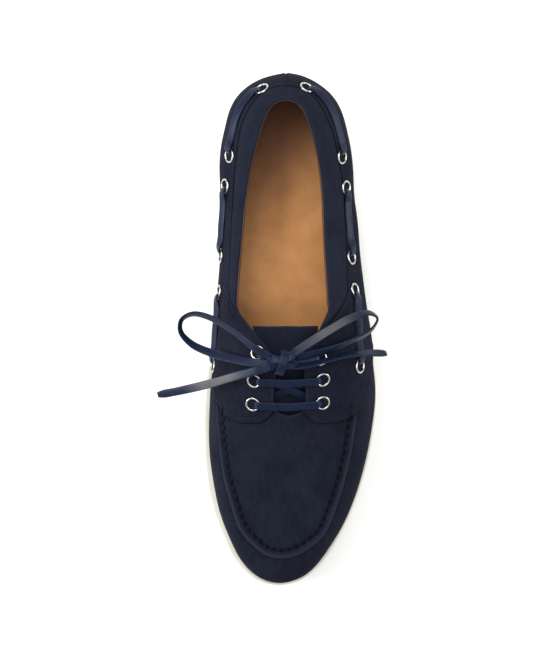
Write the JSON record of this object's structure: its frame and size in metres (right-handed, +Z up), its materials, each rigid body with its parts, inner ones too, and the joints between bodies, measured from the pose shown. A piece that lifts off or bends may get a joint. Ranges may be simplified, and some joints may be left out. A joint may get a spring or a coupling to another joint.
{
  "type": "boat shoe",
  "caption": "Left boat shoe: low suede upper with moc toe, side lacing through metal eyelets, leather lace tied in a bow, tan sock and pale rubber sole",
  "frame": {"origin": "on the floor, at the middle of the box round the shoe without its bow", "axes": "+Z up, toe to -Y, heel to +Y, lateral side (little toe) +X, medial side (big toe) -X"},
  "size_m": [0.13, 0.2907, 0.0821],
  "materials": {
    "suede": "dark navy suede, short nap",
    "tan_leather": "smooth vegetable-tanned leather, satin",
    "rubber": "matt off-white rubber",
    "lace_leather": "smooth navy leather, soft shine",
    "nickel": "polished nickel"
  },
  "bodies": {
    "root": {"sole": "rubber", "insole": "tan_leather", "upper": "suede", "tongue": "suede", "eyelet_heel_medial": "nickel", "eyelet_heel_lateral": "nickel", "eyelet_side_2_medial": "nickel", "eyelet_side_2_lateral": "nickel", "eyelet_side_3_medial": "nickel", "eyelet_side_3_lateral": "nickel", "eyelet_side_4_medial": "nickel", "eyelet_side_4_lateral": "nickel", "eyelet_side_5_medial": "nickel", "eyelet_side_5_lateral": "nickel", "eyelet_side_6_medial": "nickel", "eyelet_side_6_lateral": "nickel", "eyelet_front_1_medial": "nickel", "eyelet_front_1_lateral": "nickel", "eyelet_front_2_medial": "nickel", "eyelet_front_2_lateral": "nickel", "eyelet_front_3_medial": "nickel", "eyelet_front_3_lateral": "nickel", "lace_heel_medial": "lace_leather", "lace_quarter_medial": "lace_leather", "lace_facing_medial": "lace_leather", "lace_heel_lateral": "lace_leather", "lace_quarter_lateral": "lace_leather", "lace_facing_lateral": "lace_leather", "lace_bar_upper": "lace_leather", "lace_bar_lower": "lace_leather", "lace_crossing": "lace_leather", "lace_knot": "lace_leather", "lace_loop_medial": "lace_leather", "lace_loop_lateral": "lace_leather", "lace_end_medial": "lace_leather", "lace_end_lateral": "lace_leather"}
  },
  "joints": []
}
